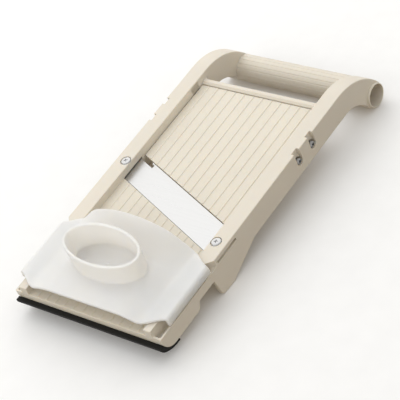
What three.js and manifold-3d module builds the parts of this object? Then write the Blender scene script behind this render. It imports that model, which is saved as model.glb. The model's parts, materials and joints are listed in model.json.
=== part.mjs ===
// A hand-held mandoline slicer: two side rails with bowl hooks and curved arms, a fluted
// tube handle, a fixed lower table, a tilting upper table set by a knob, an angled blade
// under two screws, and a loose guard parked on the foot.
//
// Everything is built in the rail frame (millimetres): X across, Y from the foot to the
// handle, Z normal to the rail tops, with z = 0 on the rail tops and y = 0 at the foot's
// front face. The last lines turn that frame so that the slicer stands on its hooks and
// handle, with the origin under the middle of its bounding box.

import * as THREE from 'three';
import { mergeVertices } from 'three/addons/utils/BufferGeometryUtils.js';
import Module from 'manifold-3d';

const wasm = await Module();
wasm.setup();

// ---------------------------------------------------------------- driving dimensions
const GAP = 0.3;                 // clearance between touching pieces
const HALF_WIDTH = 60;           // outer face of a side rail
const CHANNEL = 48.1;            // inner face of a side rail
const WALL = 2.4;                // moulded wall thickness
const RAIL_DEPTH = 17.3;         // depth of the outer wall along the tables
const INNER_DEPTH = 10.5;        // depth of the inner wall
const LOWER_Z = -5.5;            // top of the lower table
const UPPER_Z = -6.1;            // top of the upper table
const TABLE_T = 2.4;             // thickness of both tables
const RIB_PITCH = 7.54;
const RIB_COUNT = 12;
const RIB_HALF = 0.6;
const RIB_HEIGHT = 0.45;

const FOOT_DEPTH = 17.9;
const FOOT_R = 9.8;              // round lower front corner of the foot
const LEDGE_Z = -5.3;            // parking ledge for the guard's lips
const RIDGE_X = 54;              // outer face of the narrow rail beside the ledge
const LEDGE_END = 54.5;          // the ledge stops here and its end slants back
const NOTCH_Z = -12.4;           // shallow stretch of the side wall ahead of the hook

const HOOK_Z = -27.5;            // hook bottom at the middle of its flat
const HOOK_FRONT = 58;
const HOOK_BACK = 69.5;
const HOOK_WALL = 3.2;           // the wall is thicker down at the hook

const ARM_START = 206;           // the arms start to bend down here
const ARM_R = 47;                // upper bend
const ARM_SWEEP = THREE.MathUtils.degToRad(59.8);
const ARM_END_R = 9.2;
const ARM_INNER_R = 26;          // lower bend

const GRIP_R = 9.5;
const GRIP_FLUTES = 18;
const FLUTE_DEPTH = 0.35;
const COLLAR_R = 8.45;
const COLLAR_OUT = 1.8;          // how far the tube's end stands out of the arm
const BORE_R = 7.8;

const CROSSBAR = { y0: 197.5, y1: 201.4, z0: -14, z1: -4.4 };
const TABLE_BACK = 196.7;

const BLADE_ANGLE = THREE.MathUtils.degToRad(21.4);
const BLADE_Y = 94.5;            // where the blade's screw line crosses the middle
const BLADE_TOP = -5.8;
const BLADE_T = 1.0;
const BLADE_BACK = -7.7;         // offsets across the blade, towards the handle positive
const BLADE_TANG = 9.8;
const BLADE_EDGE = 13.3;
const BLADE_BEVEL = 0.75;        // drop of the ground bevel at the edge
const BLADE_LEFT = -56;
const BLADE_RIGHT = 57;
const SLOT_BACK = -8.1;          // the slots in the side rails, in the same offsets
const SLOT_FRONT = 11;
const SLOT_END = 57.4;
const SLOT_TOP = -4.6;
const SLIT = { z0: -5, z1: -2.9 }; // where the right slot opens through the outer face
const EDGE_LEFT = -34.8;
const EDGE_RIGHT = 46.5;
const POCKET = { x: -33, back: 6.3, front: 15, z: -16.8, t: 1.5 }; // tray under the blade's left tang
const POCKET_WALL = 17;          // the inner wall runs down beside it, this far past the screw
const THROAT = 0.6;              // gap between the blade's edge and the upper table
const BLADE_SCREW_X = 52.1;
const CROSS = { half: 0.55, reach: 1.5 }; // recess in a blade screw's head

const BRIDGE_SCREWS = [155.5, 171.3];
const BRIDGE_SCREW_Z = -8.5;
const BRIDGE_SCREW_R = 1.5;
const BRIDGE = { y0: 151.5, y1: 175.5, z0: -17, z1: -14.2 };
const BOSS_X = 55.5;             // the side wall is thick from here outwards at the bridge
const GROOVE_FLOOR = 57.6;
const GROOVE_HALF = 3;

const PIVOT = { y: 190, z: -10.6, r: 2.0 };
const KNOB_Y = 163.2;
const KNOB_R = 15;
const KNOB_FLUTES = 18;
const SHAFT_R = 2.5;
const SHAFT_TOP = -9.9;

const GUARD = { half: 60.9, top: 2.4, t: 2.0, lip: -3.7, round: 2.6 };
const GUARD_ARCH = { half: 46, rise: 14.5, start: 43, back: 62 };
const CUP = { y: 33, t: 2, base: 3 };
const CUP_BASE = { a: 28.6, b: 15 };
const CUP_RIM = { a: 30.6, b: 14.4, front: 20, back: 25.5 };

const IVORY = 0xe9e4d6;
const IVORY_SHADE = 0xe4decd;

// ---------------------------------------------------------------- shape helpers
const Y_UP = new THREE.Matrix4().makeBasis(
  new THREE.Vector3(0, 1, 0),
  new THREE.Vector3(0, 0, 1),
  new THREE.Vector3(1, 0, 0),
);

function solid(geometry) {
  const bare = geometry.clone();
  bare.deleteAttribute('normal');
  bare.deleteAttribute('uv');
  const merged = mergeVertices(bare, 1e-4);
  return new wasm.Manifold(new wasm.Mesh({
    numProp: 3,
    vertProperties: new Float32Array(merged.attributes.position.array),
    triVerts: new Uint32Array(merged.index.array),
  }));
}

function geometryOf(body) {
  const mesh = body.getMesh();
  const geometry = new THREE.BufferGeometry();
  geometry.setAttribute('position', new THREE.BufferAttribute(mesh.vertProperties, 3));
  geometry.setIndex(new THREE.BufferAttribute(mesh.triVerts, 1));
  geometry.computeVertexNormals();
  return geometry;
}

const join = (...parts) => parts.reduce((a, b) => a.add(b));
const cut = (body, ...tools) => tools.reduce((a, b) => a.subtract(b), body);

function shapeOf(points) {
  return new THREE.Shape(points.map(([x, y]) => new THREE.Vector2(x, y)));
}

// A (y, z) outline drawn out along X; side = -1 mirrors the span to the left.
function prismX(shape, x0, x1, side = 1, curveSegments = 10) {
  const options = { depth: x1 - x0, bevelEnabled: false, curveSegments };
  const geometry = new THREE.ExtrudeGeometry(shape, options);
  geometry.applyMatrix4(Y_UP);
  geometry.translate(side > 0 ? x0 : -x1, 0, 0);
  return solid(geometry);
}

function prismZ(shape, z0, z1, curveSegments = 12) {
  const options = { depth: z1 - z0, bevelEnabled: false, curveSegments };
  const geometry = new THREE.ExtrudeGeometry(shape, options);
  geometry.translate(0, 0, z0);
  return solid(geometry);
}

function box(x0, x1, y0, y1, z0, z1) {
  const geometry = new THREE.BoxGeometry(x1 - x0, y1 - y0, z1 - z0);
  geometry.translate((x0 + x1) / 2, (y0 + y1) / 2, (z0 + z1) / 2);
  return solid(geometry);
}

const sideBox = (side, x0, x1, ...rest) => (side > 0 ? box(x0, x1, ...rest) : box(-x1, -x0, ...rest));

function rodX(y, z, r, x0, x1, segments = 24) {
  const geometry = new THREE.CylinderGeometry(r, r, x1 - x0, segments);
  geometry.rotateZ(Math.PI / 2);
  geometry.translate((x0 + x1) / 2, y, z);
  return solid(geometry);
}

function rodZ(x, y, r, z0, z1, segments = 24, rTop = r) {
  const geometry = new THREE.CylinderGeometry(rTop, r, z1 - z0, segments);
  geometry.rotateX(Math.PI / 2);
  geometry.translate(x, y, (z0 + z1) / 2);
  return solid(geometry);
}

// ---------------------------------------------------------------- derived places
const armTop = new THREE.Vector2(ARM_START, -ARM_R);
const handleAxis = new THREE.Vector2(Math.sin(ARM_SWEEP), Math.cos(ARM_SWEEP))
  .multiplyScalar(ARM_R - ARM_END_R).add(armTop);
const innerBendZ = -RAIL_DEPTH - ARM_INNER_R;
const innerBend = new THREE.Vector2(
  handleAxis.x - Math.sqrt((ARM_INNER_R + ARM_END_R) ** 2 - (handleAxis.y - innerBendZ) ** 2),
  innerBendZ,
);

// The slicer rests on its hooks and on the handle; TILT is the slope of the rails then.
const hookMid = (HOOK_FRONT + HOOK_BACK) / 2;
const reach = handleAxis.x - hookMid;
const drop = HOOK_Z - handleAxis.y;
const TILT = Math.asin(GRIP_R / Math.hypot(reach, drop)) + Math.atan(drop / reach);
const hookZ = (y) => HOOK_Z - Math.tan(TILT) * (y - hookMid);
const HOOK = [
  [97.5, -RAIL_DEPTH],
  [HOOK_BACK + 1.5, hookZ(HOOK_BACK) + 1.3],
  [HOOK_BACK, hookZ(HOOK_BACK)],
  [HOOK_FRONT, hookZ(HOOK_FRONT)],
  [HOOK_FRONT - 1.9, hookZ(HOOK_FRONT) + 1.4],
];

// A point on a line along the blade: `across` from the screw line, at a given x.
const cosB = Math.cos(BLADE_ANGLE);
const onBlade = (x, across) => [x, BLADE_Y + across / cosB - x * Math.tan(BLADE_ANGLE)];
const screwY = (side) => onBlade(side * BLADE_SCREW_X, 0)[1];

// ---------------------------------------------------------------- side rails
// The arm's outline: over the upper bend, round the handle's end and back along the lower bend.
function addArm(s) {
  const toBend = Math.atan2(innerBend.y - handleAxis.y, innerBend.x - handleAxis.x);
  s.lineTo(ARM_START, 0);
  s.absarc(armTop.x, armTop.y, ARM_R, Math.PI / 2, Math.PI / 2 - ARM_SWEEP, true);
  s.absarc(handleAxis.x, handleAxis.y, ARM_END_R, Math.PI / 2 - ARM_SWEEP, toBend, true);
  s.absarc(innerBend.x, innerBend.y, ARM_INNER_R, toBend + Math.PI, Math.PI / 2, false);
}

function sideOutline() {
  const s = new THREE.Shape();
  s.moveTo(0, 0);
  addArm(s);
  for (const [y, z] of HOOK) s.lineTo(y, z);
  s.lineTo(53.8, NOTCH_Z);
  s.lineTo(38.3, NOTCH_Z);
  s.lineTo(36, -FOOT_DEPTH + 1);
  s.lineTo(35, -FOOT_DEPTH);
  s.absarc(FOOT_R, FOOT_R - FOOT_DEPTH, FOOT_R, -Math.PI / 2, -Math.PI, true);
  return s;
}

function armOutline() {
  const s = new THREE.Shape();
  s.moveTo(TABLE_BACK, -RAIL_DEPTH);
  s.lineTo(TABLE_BACK, 0);
  addArm(s);
  return s;
}

// The foot's front wall: a shell round the lower front corner, up to `top`.
function footWall(top) {
  const s = new THREE.Shape();
  const cz = FOOT_R - FOOT_DEPTH;
  s.moveTo(0, top);
  s.lineTo(0, cz);
  s.absarc(FOOT_R, cz, FOOT_R, Math.PI, 1.5 * Math.PI, false);
  s.lineTo(15, -FOOT_DEPTH);
  s.lineTo(15, -FOOT_DEPTH + WALL);
  s.absarc(FOOT_R, cz, FOOT_R - WALL, 1.5 * Math.PI, Math.PI, true);
  s.lineTo(WALL, top);
  return s;
}

function hookBlock() {
  return shapeOf([...HOOK, [54.2, -RAIL_DEPTH + WALL], [97.5, -RAIL_DEPTH + WALL]]);
}

function bladeSlot(x0, x1, z0, z1) {
  const plan = shapeOf([
    onBlade(x0, SLOT_BACK), onBlade(x1, SLOT_BACK), onBlade(x1, SLOT_FRONT), onBlade(x0, SLOT_FRONT),
  ]);
  return prismZ(plan, z0, z1);
}

function sideRail(side) {
  const outer = HALF_WIDTH - WALL;
  const inner = CHANNEL + WALL;
  const y = screwY(side);
  let body = join(
    prismX(sideOutline(), outer, HALF_WIDTH, side),
    prismX(armOutline(), CHANNEL, HALF_WIDTH, side),
    prismX(hookBlock(), HALF_WIDTH - HOOK_WALL, HALF_WIDTH, side),
    prismX(footWall(0), CHANNEL, HALF_WIDTH, side),
    sideBox(side, CHANNEL, HALF_WIDTH, 0, TABLE_BACK + 1, -WALL, 0),
    sideBox(side, CHANNEL, inner, 1, TABLE_BACK + 1, -INNER_DEPTH, 0),
    sideBox(side, CHANNEL, RIDGE_X, 0, LEDGE_END + 6, LEDGE_Z - WALL, 0),
    sideBox(side, CHANNEL, HALF_WIDTH, 0, LEDGE_END + 8.5, LEDGE_Z - WALL, LEDGE_Z),
    sideBox(side, RIDGE_X - 1, HALF_WIDTH, LEDGE_END, LEDGE_END + 8.5, LEDGE_Z - WALL, 0),
    sideBox(side, CHANNEL, HALF_WIDTH, y - 6.5, y + 6.5, -14, 0),
    sideBox(side, CHANNEL, inner, y + 6, y + POCKET_WALL, -RAIL_DEPTH, 0),
    sideBox(side, BOSS_X, HALF_WIDTH, 148, 179, -RAIL_DEPTH, 0),
    sideBox(side, CHANNEL, HALF_WIDTH - WALL, PIVOT.y - 4, PIVOT.y + 4, PIVOT.z - 4, 0),
  );
  const ledgePlan = [
    [RIDGE_X, -1], [HALF_WIDTH + 1, -1], [HALF_WIDTH + 1, LEDGE_END + 7], [HALF_WIDTH, LEDGE_END + 6],
    [RIDGE_X, LEDGE_END],
  ].map(([px, py]) => [side * px, py]);
  const grooves = BRIDGE_SCREWS.map((gy) => join(
    sideBox(side, GROOVE_FLOOR, HALF_WIDTH + 1, gy - GROOVE_HALF, gy + GROOVE_HALF, BRIDGE_SCREW_Z, 1),
    rodX(gy, BRIDGE_SCREW_Z, GROOVE_HALF, ...span(side, GROOVE_FLOOR, HALF_WIDTH + 1)),
    rodX(gy, BRIDGE_SCREW_Z, BRIDGE_SCREW_R + GAP, ...span(side, BOSS_X - 1, HALF_WIDTH), 16),
  ));
  const slots = [bladeSlot(...span(side, CHANNEL - 1, SLOT_END), BLADE_TOP - BLADE_T - GAP, SLOT_TOP)];
  if (side > 0) slots.push(bladeSlot(SLOT_END - 0.2, HALF_WIDTH + 1, SLIT.z0, SLIT.z1));
  return cut(
    body,
    prismZ(shapeOf(ledgePlan), LEDGE_Z, 1),
    ...grooves,
    ...slots,
    rodZ(side * BLADE_SCREW_X, y, 2 + GAP, -15, 1, 16),
    rodZ(side * BLADE_SCREW_X, y, 3.8, -1.1, 1),
    rodX(PIVOT.y, PIVOT.z, PIVOT.r + GAP, ...span(side, CHANNEL - 1, 54 + GAP), 16),
    rodX(handleAxis.x, handleAxis.y, ARM_END_R + GAP, ...span(side, CHANNEL - 1, HALF_WIDTH + 1), 32),
  );
}

function span(side, x0, x1) {
  return side > 0 ? [x0, x1] : [-x1, -x0];
}

// ---------------------------------------------------------------- cross pieces
const ribXs = Array.from({ length: RIB_COUNT }, (_, i) => (i - (RIB_COUNT - 1) / 2) * RIB_PITCH);

// Low ribs along Y between two curves y0(x) and y1(x), standing on the plane z.
function ribs(z, y0, y1) {
  return ribXs.map((x) => box(x - RIB_HALF, x + RIB_HALF, y0(x), y1(x), z - 0.5, z + RIB_HEIGHT));
}

function lowerTable() {
  const half = CHANNEL - GAP;
  const back = BLADE_BACK - GAP;
  const plate = shapeOf([[-half, 0], [half, 0], onBlade(half, back), onBlade(-half, back)]);
  const seat = shapeOf([
    onBlade(-half, back - 4), onBlade(half, back - 4), onBlade(half, 6), onBlade(-half, 6),
  ]);
  const seatTop = BLADE_TOP - BLADE_T - GAP;
  const stiffeners = [-30, -10, 10, 30].map((x) => box(x - 0.8, x + 0.8, 4.2, 62, -12, LOWER_Z - 1));
  return join(
    prismZ(plate, LOWER_Z - TABLE_T, LOWER_Z),
    prismZ(seat, seatTop - TABLE_T, seatTop),
    ...stiffeners,
    ...ribs(LOWER_Z, () => 0.8, (x) => onBlade(x, back)[1] - 0.6),
  );
}

// The wall that curves down from the lower table's front edge and carries the rubber strip.
function footShell() {
  const half = CHANNEL - GAP;
  const seam = LOWER_Z - TABLE_T - GAP;
  return cut(prismX(footWall(LOWER_Z), -half, half), box(-half - 1, half + 1, -1, 20, seam, 1));
}

// An L-shaped tray that closes the space under the notch beside the blade's left tang.
function tangPocket() {
  const half = CHANNEL - GAP;
  const { x, back, front, z, t } = POCKET;
  const plan = (end) => shapeOf([onBlade(-half, back), onBlade(x, back), onBlade(x, end), onBlade(-half, end)]);
  return join(
    prismZ(plan(back + t), z, BLADE_TOP - BLADE_T - GAP),
    prismZ(plan(front), z, z + t),
  );
}

function crossbar() {
  const half = CHANNEL - GAP;
  const { y0, y1, z0, z1 } = CROSSBAR;
  const plan = new THREE.Shape();
  plan.moveTo(-half, y0);
  plan.lineTo(half, y0);
  plan.lineTo(half, y1 + 3);
  plan.absarc(half - 3, y1 + 3, 3, 0, -Math.PI / 2, true);
  plan.absarc(-half + 3, y1 + 3, 3, -Math.PI / 2, -Math.PI, true);
  return prismZ(plan, z0, z1, 5);
}

function handle() {
  const grip = new THREE.Shape();
  const step = (2 * Math.PI) / GRIP_FLUTES;
  for (let i = 0; i < GRIP_FLUTES; i += 1) {
    for (const [f, r] of [[0.08, GRIP_R], [0.92, GRIP_R], [1, GRIP_R - FLUTE_DEPTH]]) {
      const a = (i + f) * step;
      const x = handleAxis.x + r * Math.cos(a);
      const z = handleAxis.y + r * Math.sin(a);
      if (i === 0 && f === 0.08) grip.moveTo(x, z);
      else grip.lineTo(x, z);
    }
  }
  const end = HALF_WIDTH + COLLAR_OUT;
  const half = CHANNEL - GAP;
  return cut(
    join(
      prismX(grip, -half, half),
      rodX(handleAxis.x, handleAxis.y, ARM_END_R, -HALF_WIDTH, HALF_WIDTH, 32),
      rodX(handleAxis.x, handleAxis.y, COLLAR_R, -end, end, 32),
    ),
    rodX(handleAxis.x, handleAxis.y, BORE_R, -end - 1, end + 1, 32),
  );
}

function rubberFoot() {
  const cz = FOOT_R - FOOT_DEPTH;
  const inner = FOOT_R + GAP;
  const s = new THREE.Shape();
  s.moveTo(13, -FOOT_DEPTH - GAP);
  s.absarc(FOOT_R, cz, inner, -Math.PI / 2, -Math.PI + 0.29, true);
  s.lineTo(-3, -11);
  s.lineTo(-3, -12.8);
  s.quadraticCurveTo(-1.4, -15.3, 1.8, -16.9);
  s.quadraticCurveTo(6, -19.5, 13, -19.6);
  return prismX(s, -HALF_WIDTH, HALF_WIDTH, 1, 8);
}

// ---------------------------------------------------------------- blade and its screws
function blade() {
  const plan = [
    onBlade(BLADE_LEFT, BLADE_BACK),
    onBlade(BLADE_RIGHT, BLADE_BACK),
    onBlade(BLADE_RIGHT, BLADE_TANG),
    onBlade(EDGE_RIGHT, BLADE_TANG),
    onBlade(EDGE_RIGHT, BLADE_EDGE),
    onBlade(EDGE_LEFT, BLADE_EDGE),
    onBlade(EDGE_LEFT, BLADE_TANG),
    onBlade(BLADE_LEFT, BLADE_TANG),
  ];
  const strip = prismZ(shapeOf(plan), BLADE_TOP - BLADE_T, BLADE_TOP);
  // The edge is ground on top: a wedge is taken off, drawn along X and turned with the blade.
  const slope = BLADE_BEVEL / (BLADE_EDGE - BLADE_TANG);
  const past = BLADE_EDGE + 1;
  const wedge = prismX(shapeOf([
    [BLADE_TANG, 0], [past, -slope * (past - BLADE_TANG)], [past, 1], [BLADE_TANG, 1],
  ]), -HALF_WIDTH, HALF_WIDTH);
  const turned = wedge.rotate([0, 0, -THREE.MathUtils.radToDeg(BLADE_ANGLE)])
    .translate([0, BLADE_Y, BLADE_TOP]);
  const holes = [-1, 1].map((side) => rodZ(side * BLADE_SCREW_X, screwY(side), 2 + GAP, -10, 0, 16));
  return cut(strip, turned, ...holes);
}

function bladeScrew(side) {
  const x = side * BLADE_SCREW_X;
  const y = screwY(side);
  const head = join(rodZ(x, y, 3.5, -0.8, 0.05), rodZ(x, y, 3.5, 0.05, 0.4, 24, 2.2));
  return cut(
    join(head, rodZ(x, y, 2, -17.2, -0.5, 16)),
    box(x - CROSS.reach, x + CROSS.reach, y - CROSS.half, y + CROSS.half, -0.4, 1),
    box(x - CROSS.half, x + CROSS.half, y - CROSS.reach, y + CROSS.reach, -0.4, 1),
  );
}

function bladeNut(side) {
  const x = side * BLADE_SCREW_X;
  const y = screwY(side);
  return cut(rodZ(x, y, 3.9, -17.1, -14.3, 6), rodZ(x, y, 2 + GAP, -18, -13, 16));
}

// ---------------------------------------------------------------- thickness adjuster
function bridgeBeam() {
  const { y0, y1, z0, z1 } = BRIDGE;
  const earOut = BOSS_X - GAP;
  const ears = [-1, 1].map((side) => sideBox(side, 51, earOut, y0, y1, z0, -3));
  const holes = [-1, 1].flatMap((side) => BRIDGE_SCREWS.map(
    (gy) => rodX(gy, BRIDGE_SCREW_Z, BRIDGE_SCREW_R + GAP, ...span(side, 51.8, earOut + 1), 16),
  ));
  return cut(
    join(
      box(-earOut, earOut, y0, y1, z0, z1),
      box(-51, 51, y0, y0 + 2, z0, -11.4),
      box(-51, 51, y1 - 2, y1, z0, -11.4),
      rodZ(0, KNOB_Y, 7, z0, z1 + 0.1),
      ...ears,
    ),
    rodZ(0, KNOB_Y, SHAFT_R + GAP, z0 - 1, z1 + 1, 20),
    ...holes,
  );
}

function bridgeScrew(side, y) {
  const z = BRIDGE_SCREW_Z;
  const profile = [[0, 0], [2.4, 0], [2.4, 0.8], [1.9, 1.5], [1, 1.9], [0, 2]];
  const headGeometry = new THREE.LatheGeometry(profile.map(([r, h]) => new THREE.Vector2(r, h)), 14);
  headGeometry.rotateZ(-side * Math.PI / 2);
  headGeometry.translate(side * (GROOVE_FLOOR + GAP), y, z);
  const shank = rodX(y, z, BRIDGE_SCREW_R, ...span(side, 52.3, GROOVE_FLOOR + 1), 16);
  const [a, b] = span(side, GROOVE_FLOOR + 1.3, HALF_WIDTH + 1);
  return cut(
    join(solid(headGeometry), shank),
    box(a, b, y - 1.2, y + 1.2, z - 0.4, z + 0.4),
    box(a, b, y - 0.4, y + 0.4, z - 1.2, z + 1.2),
  );
}

function upperTable() {
  const half = CHANNEL - 0.6;
  const front = BLADE_EDGE + THROAT;
  const plate = shapeOf([
    onBlade(-half, front), onBlade(half, front), [half, TABLE_BACK], [-half, TABLE_BACK],
  ]);
  const under = UPPER_Z - TABLE_T;
  const pivots = [-1, 1].map(
    (side) => sideBox(side, 39, half, PIVOT.y - 3.5, PIVOT.y + 3.5, PIVOT.z - 3.2, under + 0.5),
  );
  const frontRib = prismZ(shapeOf([
    onBlade(-40, front + 3), onBlade(40, front + 3), onBlade(40, front + 5), onBlade(-40, front + 5),
  ]), under - 1.6, under + 0.5);
  return cut(
    join(
      prismZ(plate, under, UPPER_Z),
      rodZ(0, KNOB_Y, 6.4, -11.6, under + 0.5),
      frontRib,
      ...pivots,
      ...ribs(UPPER_Z, (x) => onBlade(x, front)[1] + 0.5, () => TABLE_BACK - 0.5),
    ),
    rodZ(0, KNOB_Y, 4 + GAP, -13, -8.1),
    ...[-1, 1].map((side) => rodX(PIVOT.y, PIVOT.z, PIVOT.r + GAP, ...span(side, 38, half + 1), 16)),
  );
}

const pivotPin = (side) => rodX(PIVOT.y, PIVOT.z, PIVOT.r, ...span(side, 40, 54), 20);

function tableNut() {
  return cut(rodZ(0, KNOB_Y, 4, -11.6, -8.4, 20), rodZ(0, KNOB_Y, SHAFT_R + 0.4, -13, -8, 20));
}

function knob() {
  const s = new THREE.Shape();
  const step = (2 * Math.PI) / KNOB_FLUTES;
  for (let i = 0; i < KNOB_FLUTES; i += 1) {
    for (const [f, r] of [[0, KNOB_R - 1], [0.25, KNOB_R], [0.75, KNOB_R]]) {
      const a = (i + f) * step;
      if (i === 0 && f === 0) s.moveTo(r * Math.cos(a), KNOB_Y + r * Math.sin(a));
      else s.lineTo(r * Math.cos(a), KNOB_Y + r * Math.sin(a));
    }
  }
  return cut(
    join(prismZ(s, -28, -20.5), rodZ(0, KNOB_Y, 6, -21, -18.2)),
    rodZ(0, KNOB_Y, SHAFT_R + GAP, -26.5, -18, 20),
    rodZ(0, KNOB_Y, 11, -29, -27, 24),
  );
}

const knobShaft = () => rodZ(0, KNOB_Y, SHAFT_R, -26.2, SHAFT_TOP, 20);
const ringZ = (r, hole, z0, z1) => cut(
  rodZ(0, KNOB_Y, r, z0, z1),
  rodZ(0, KNOB_Y, hole, z0 - 1, z1 + 1, 20),
);

// ---------------------------------------------------------------- guard
const smooth = (t) => {
  const c = Math.min(Math.max(t, 0), 1);
  return c * c * (3 - 2 * c);
};

// The guard's sheet is low over the foot and rises into an arched shield at the handle side.
function crownAt(x, y) {
  const arch = Math.max(0, 1 - (x / GUARD_ARCH.half) ** 2);
  const low = (3.1 + 0.033 * y) * smooth(arch * 1.5);
  const along = Math.max(0, (y - GUARD_ARCH.start) / (GUARD_ARCH.back - GUARD_ARCH.start));
  return low + GUARD_ARCH.rise * arch * along ** 1.5;
}

const frontEdge = (x) => 1.6 + 8.6 * smooth((Math.abs(x) - 42) / 19);
const backEdge = (x) => GUARD_ARCH.back - 7.8 * smooth((Math.abs(x) - 43) / 18);

// Half of the cross-section, from the lip's lower edge up to the middle: [x, z, nx, nz].
function guardSection() {
  const { half, top, lip, round } = GUARD;
  const points = [[half, lip, 1, 0], [half, top - round, 1, 0]];
  for (let i = 1; i <= 4; i += 1) {
    const a = (i / 4) * (Math.PI / 2);
    const [nx, nz] = [Math.cos(a), Math.sin(a)];
    points.push([half - round * (1 - nx), top - round * (1 - nz), nx, nz]);
  }
  const flat = half - round;
  for (let i = 1; i <= 11; i += 1) {
    points.push([flat * (1 - i / 11), top, 0, 1]);
  }
  const mirrored = points.slice(0, -1).map(([x, z, nx, nz]) => [-x, z, -nx, nz]);
  return [...mirrored, ...points.reverse()];
}

// The sheet under that surface; `lift` raises it and `thickness` is how deep it goes.
function guardShell(lift, thickness) {
  const section = guardSection();
  const rows = 8;
  const vertices = [];
  const index = [];
  const count = section.length;
  const last = count - 1;
  for (let j = 0; j <= rows; j += 1) {
    for (const depth of [0, thickness]) {
      for (const [x, z, nx, nz] of section) {
        const y = frontEdge(x) + (backEdge(x) - frontEdge(x)) * (j / rows);
        const sx = x - nx * depth;
        vertices.push(sx, y, z - nz * depth + lift + crownAt(x, y) * (nz > 0.99 ? 1 : 0));
      }
    }
  }
  const at = (j, inner, i) => (j * 2 + inner) * count + i;
  const quad = (a, b, c, d) => index.push(a, b, c, a, c, d);
  for (let j = 0; j < rows; j += 1) {
    for (let i = 0; i < last; i += 1) {
      quad(at(j, 0, i), at(j, 0, i + 1), at(j + 1, 0, i + 1), at(j + 1, 0, i));
      quad(at(j, 1, i), at(j + 1, 1, i), at(j + 1, 1, i + 1), at(j, 1, i + 1));
    }
    quad(at(j, 0, 0), at(j + 1, 0, 0), at(j + 1, 1, 0), at(j, 1, 0));
    quad(at(j, 0, last), at(j, 1, last), at(j + 1, 1, last), at(j + 1, 0, last));
  }
  for (let i = 0; i < last; i += 1) {
    quad(at(0, 0, i), at(0, 1, i), at(0, 1, i + 1), at(0, 0, i + 1));
    quad(at(rows, 0, i), at(rows, 0, i + 1), at(rows, 1, i + 1), at(rows, 1, i));
  }
  const geometry = new THREE.BufferGeometry();
  geometry.setAttribute('position', new THREE.BufferAttribute(new Float32Array(vertices), 3));
  geometry.setIndex(index);
  return solid(geometry);
}

// An oval wall that flares from the base to a rim sloping up towards the handle.
function ovalLoft(inset, base, extra) {
  const segments = 28;
  const vertices = [];
  const index = [];
  const rimSlope = (CUP_RIM.back - CUP_RIM.front) / (2 * CUP_RIM.b);
  const rimZ = (y) => CUP_RIM.front + rimSlope * (y - CUP.y + CUP_RIM.b);
  for (let i = 0; i < segments; i += 1) {
    const a = (i / segments) * 2 * Math.PI;
    vertices.push((CUP_BASE.a - inset) * Math.cos(a), CUP.y + (CUP_BASE.b - inset) * Math.sin(a), base);
  }
  for (let i = 0; i < segments; i += 1) {
    const a = (i / segments) * 2 * Math.PI;
    const y = CUP.y + (CUP_RIM.b - inset) * Math.sin(a);
    vertices.push((CUP_RIM.a - inset) * Math.cos(a), y, rimZ(y) + extra);
  }
  vertices.push(0, CUP.y, base, 0, CUP.y, rimZ(CUP.y) + extra);
  for (let i = 0; i < segments; i += 1) {
    const n = (i + 1) % segments;
    index.push(i, n, segments + n, i, segments + n, segments + i);
    index.push(2 * segments, n, i, 2 * segments + 1, segments + i, segments + n);
  }
  const geometry = new THREE.BufferGeometry();
  geometry.setAttribute('position', new THREE.BufferAttribute(new Float32Array(vertices), 3));
  geometry.setIndex(index);
  return solid(geometry);
}

function guardSheet() {
  const prongs = [];
  for (const x of [-16, -8, 0, 8, 16]) {
    for (const y of [26, 33, 40]) {
      prongs.push(rodZ(x, y, 0.4, -3.6, 5.4, 6, 1.5));
    }
  }
  return join(guardShell(0, GUARD.t), ...prongs);
}

// The cup's wall stands on the sheet, which is its floor.
function guardCup() {
  return cut(ovalLoft(0, CUP.base, 0), ovalLoft(CUP.t, CUP.base - 1, 0.6), guardShell(GAP, 9));
}

// ---------------------------------------------------------------- assembly
function material(color, roughness, metalness = 0, opacity = 1) {
  const transparent = opacity < 1;
  return new THREE.MeshStandardMaterial({ color, roughness, metalness, opacity, transparent });
}

const ivory = material(IVORY, 0.42);
const ivoryTable = material(IVORY_SHADE, 0.45);
const rubber = material(0x161614, 0.85);
const steel = material(0xd9dadb, 0.22, 1);
const screwSteel = material(0xb9b9b6, 0.35, 1);
const brass = material(0xc9a85a, 0.35, 1);
const milky = material(0xeeece6, 0.4, 0, 0.85);

const rails = new THREE.Group();

function place(name, body, mat) {
  const mesh = new THREE.Mesh(geometryOf(body), mat);
  mesh.name = name;
  rails.add(mesh);
}

for (const [word, side] of [['left', -1], ['right', 1]]) {
  place(`side_rail_${word}`, sideRail(side), ivory);
  place(`blade_screw_${word}`, bladeScrew(side), screwSteel);
  place(`blade_nut_${word}`, bladeNut(side), screwSteel);
  place(`table_pivot_pin_${word}`, pivotPin(side), screwSteel);
  BRIDGE_SCREWS.forEach((y, i) => {
    place(`bridge_screw_${word}_${i + 1}`, bridgeScrew(side, y), screwSteel);
  });
}
place('lower_table', lowerTable(), ivoryTable);
place('foot_shell', footShell(), ivoryTable);
place('tang_pocket', tangPocket(), ivoryTable);
place('crossbar', crossbar(), ivory);
place('handle', handle(), ivory);
place('rubber_foot', rubberFoot(), rubber);
place('blade', blade(), steel);
place('adjuster_bridge', bridgeBeam(), ivory);
place('thrust_washer', ringZ(4.5, SHAFT_R + GAP, -17.9, -17.3), screwSteel);
place('upper_table', upperTable(), ivoryTable);
place('table_nut', tableNut(), brass);
place('knob', knob(), ivory);
place('knob_shaft', knobShaft(), screwSteel);
place('retaining_clip', ringZ(4.2, SHAFT_R + 0.2, -13.9, -13.4), screwSteel);
place('guard_sheet', guardSheet(), milky);
place('guard_cup', guardCup(), milky);

// Turn the rail frame onto its resting points and centre it over the origin.
rails.rotation.x = TILT;
const group = new THREE.Group();
group.add(rails);
group.updateMatrixWorld(true);
const bounds = new THREE.Box3().setFromObject(group, true);
const middle = bounds.getCenter(new THREE.Vector3());
rails.position.set(-middle.x, -middle.y, -bounds.min.z);

export default group;
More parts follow.
